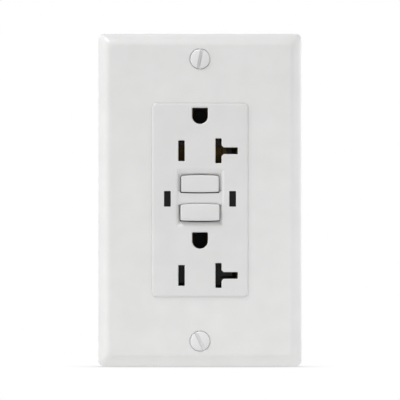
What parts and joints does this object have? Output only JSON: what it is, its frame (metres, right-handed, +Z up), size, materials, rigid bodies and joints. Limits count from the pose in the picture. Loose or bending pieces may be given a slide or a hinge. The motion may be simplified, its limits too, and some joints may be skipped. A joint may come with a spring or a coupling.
{
  "type": "gfci outlet",
  "caption": "Ground-fault duplex outlet for a one-gang box: white face with test and reset buttons, steel strap, wall plate, side wiring terminals and a working trip latch.",
  "frame": {"origin": "middle of the bar between the two buttons, on its surface; this is the middle of the outlet seen from the front", "axes": "-Y out of the face towards the room, +Y into the wall, +Z up, +X to the right seen from the front"},
  "size_m": [0.0698, 0.034, 0.1142],
  "materials": {
    "plate_white": "smooth moulded thermoplastic, satin gloss",
    "face_white": "smooth moulded thermoplastic, satin",
    "screw_white": "white enamel over steel",
    "zinc_steel": "zinc-plated pressed steel",
    "dark_steel": "oiled bare steel",
    "brass": "stamped spring brass",
    "brass_screw": "bright brass-plated screw, hot side",
    "nickel": "nickel-plated screw or spring wire",
    "green_screw": "green dyed grounding screw",
    "copper_wire": "enamelled copper winding",
    "housing_grey": "moulded dark grey thermoplastic",
    "middle_grey": "moulded mid-grey thermoplastic",
    "smoke_lens": "smoked polycarbonate light pipe",
    "nylon": "natural nylon",
    "fibre": "pressed fibre board",
    "board_green": "glass-epoxy circuit board with solder mask",
    "chip_black": "moulded epoxy package",
    "varistor_blue": "dipped epoxy coating",
    "capacitor_yellow": "film capacitor box",
    "resistor_tan": "lacquered carbon film resistor",
    "ferrite": "sintered ferrite ring"
  },
  "bodies": {
    "root": {"case_screw_lower_left": "zinc_steel", "case_screw_lower_right": "zinc_steel", "case_screw_upper_left": "zinc_steel", "case_screw_upper_right": "zinc_steel", "circuit_board": "board_green", "control_chip": "chip_black", "face_cover": "face_white", "filter_capacitor": "capacitor_yellow", "ground_contact_lower": "brass", "ground_contact_upper": "brass", "hot_face_contact": "brass", "hot_line_bar": "brass", "indicator_lens_left": "smoke_lens", "indicator_lens_right": "smoke_lens", "lamp_left": "nylon", "lamp_right": "nylon", "leakage_core": "copper_wire", "middle_housing": "middle_grey", "mounting_strap": "zinc_steel", "neutral_core": "ferrite", "neutral_face_contact": "brass", "neutral_line_bar": "brass", "plunger_spring": "nickel", "rear_cover": "housing_grey", "reset_spring": "nickel", "screw_retainer_lower": "fibre", "screw_retainer_upper": "fibre", "sensor_sleeve": "nylon", "solenoid_bobbin": "nylon", "solenoid_coil": "copper_wire", "solenoid_frame": "zinc_steel", "surge_varistor": "varistor_blue", "test_contact": "brass", "test_resistor": "resistor_tan", "trip_thyristor": "chip_black", "wall_plate": "plate_white"},
    "plate_screw_upper_body": {"plate_screw_upper": "screw_white"},
    "plate_screw_lower_body": {"plate_screw_lower": "screw_white"},
    "mounting_screw_upper_body": {"mounting_screw_upper": "zinc_steel"},
    "mounting_screw_lower_body": {"mounting_screw_lower": "zinc_steel"},
    "ground_screw_body": {"ground_screw": "green_screw"},
    "reset_body": {"reset_button": "face_white", "reset_pin": "dark_steel"},
    "carriage_body": {"contact_carriage": "nylon"},
    "latch_body": {"latch_plate": "dark_steel"},
    "plunger_body": {"solenoid_plunger": "dark_steel"},
    "hot_arm_body": {"hot_moving_arm": "brass"},
    "neutral_arm_body": {"neutral_moving_arm": "brass"},
    "test_body": {"test_button": "face_white"},
    "test_leaf_body": {"test_leaf": "brass"},
    "line_hot_screw_body": {"line_hot_screw": "brass_screw"},
    "line_hot_clamp_body": {"line_hot_clamp": "zinc_steel"},
    "line_neutral_screw_body": {"line_neutral_screw": "nickel"},
    "line_neutral_clamp_body": {"line_neutral_clamp": "zinc_steel"},
    "load_hot_screw_body": {"load_hot_screw": "brass_screw"},
    "load_hot_clamp_body": {"load_hot_clamp": "zinc_steel"},
    "load_neutral_screw_body": {"load_neutral_screw": "nickel"},
    "load_neutral_clamp_body": {"load_neutral_clamp": "zinc_steel"}
  },
  "joints": [
    {"name": "plate_screw_upper_turn", "type": "hinge", "parent": "root", "child": "plate_screw_upper_body", "pos_m": [0, 0, 0.04842], "axis": [0, 1, 0], "continuous": true},
    {"name": "plate_screw_lower_turn", "type": "hinge", "parent": "root", "child": "plate_screw_lower_body", "pos_m": [0, 0, -0.04842], "axis": [0, 1, 0], "continuous": true},
    {"name": "mounting_screw_upper_turn", "type": "hinge", "parent": "root", "child": "mounting_screw_upper_body", "pos_m": [0, 0, 0.04167], "axis": [0, 1, 0], "continuous": true},
    {"name": "mounting_screw_lower_turn", "type": "hinge", "parent": "root", "child": "mounting_screw_lower_body", "pos_m": [0, 0, -0.04167], "axis": [0, 1, 0], "continuous": true},
    {"name": "ground_screw_turn", "type": "hinge", "parent": "root", "child": "ground_screw_body", "pos_m": [-0.0154, 0.0106, -0.04], "axis": [1, 0, 0], "continuous": true},
    {"name": "reset_press", "type": "slide", "parent": "root", "child": "reset_body", "axis": [0, 1, 0], "range_m": [0, 0.0018], "stiffness_N_per_m": 400, "deforming": ["reset_spring"]},
    {"name": "carriage_lift", "type": "slide", "parent": "root", "child": "carriage_body", "axis": [0, -1, 0], "range_m": [0, 0.000864]},
    {"name": "latch_slide", "type": "slide", "parent": "carriage_body", "child": "latch_body", "axis": [0, 0, -1], "range_m": [0, 0.0012]},
    {"name": "plunger_slide", "type": "slide", "parent": "root", "child": "plunger_body", "axis": [0, 0, -1], "range_m": [0, 0.0012], "deforming": ["plunger_spring"]},
    {"name": "hot_arm_close", "type": "hinge", "parent": "root", "child": "hot_arm_body", "pos_m": [-0.00635, 0.01925, 0.0102], "axis": [-1, 0, 0], "range_deg": [0, 3]},
    {"name": "neutral_arm_close", "type": "hinge", "parent": "root", "child": "neutral_arm_body", "pos_m": [0.00635, 0.01925, 0.0102], "axis": [-1, 0, 0], "range_deg": [0, 3]},
    {"name": "test_press", "type": "slide", "parent": "root", "child": "test_body", "axis": [0, 1, 0], "range_m": [0, 0.0012], "stiffness_N_per_m": 400},
    {"name": "test_leaf_bend", "type": "hinge", "parent": "root", "child": "test_leaf_body", "pos_m": [0, 0.0094, 0.014], "axis": [1, 0, 0], "range_deg": [0, 8.9]},
    {"name": "line_hot_clamp_slide", "type": "slide", "parent": "root", "child": "line_hot_clamp_body", "axis": [1, 0, 0], "range_m": [0, 0.002]},
    {"name": "line_hot_screw_turn", "type": "hinge", "parent": "root", "child": "line_hot_screw_body", "pos_m": [-0.0186, 0.0216, -0.015], "axis": [-1, 0, 0], "range_deg": [0, 908]},
    {"name": "line_neutral_clamp_slide", "type": "slide", "parent": "root", "child": "line_neutral_clamp_body", "axis": [-1, 0, 0], "range_m": [0, 0.002]},
    {"name": "line_neutral_screw_turn", "type": "hinge", "parent": "root", "child": "line_neutral_screw_body", "pos_m": [0.0186, 0.0216, -0.015], "axis": [1, 0, 0], "range_deg": [0, 908]},
    {"name": "load_hot_clamp_slide", "type": "slide", "parent": "root", "child": "load_hot_clamp_body", "axis": [1, 0, 0], "range_m": [0, 0.002]},
    {"name": "load_hot_screw_turn", "type": "hinge", "parent": "root", "child": "load_hot_screw_body", "pos_m": [-0.0186, 0.0216, 0.015], "axis": [-1, 0, 0], "range_deg": [0, 908]},
    {"name": "load_neutral_clamp_slide", "type": "slide", "parent": "root", "child": "load_neutral_clamp_body", "axis": [-1, 0, 0], "range_m": [0, 0.002]},
    {"name": "load_neutral_screw_turn", "type": "hinge", "parent": "root", "child": "load_neutral_screw_body", "pos_m": [0.0186, 0.0216, 0.015], "axis": [1, 0, 0], "range_deg": [0, 908]}
  ],
  "couplings": [
    {"joint": "hot_arm_close", "follows": "reset_press", "rad_per_m": 28.889},
    {"joint": "neutral_arm_close", "follows": "reset_press", "rad_per_m": 28.889},
    {"joint": "carriage_lift", "follows": "reset_press", "ratio": 0.48},
    {"joint": "latch_slide", "follows": "reset_press", "ratio": 0.6666},
    {"joint": "plunger_slide", "follows": "reset_press", "ratio": 0.6666},
    {"joint": "test_leaf_bend", "follows": "test_press", "rad_per_m": 129.17},
    {"joint": "line_hot_screw_turn", "follows": "line_hot_clamp_slide", "rad_per_m": 7915.8},
    {"joint": "line_neutral_screw_turn", "follows": "line_neutral_clamp_slide", "rad_per_m": 7915.8},
    {"joint": "load_hot_screw_turn", "follows": "load_hot_clamp_slide", "rad_per_m": 7915.8},
    {"joint": "load_neutral_screw_turn", "follows": "load_neutral_clamp_slide", "rad_per_m": 7915.8}
  ]
}
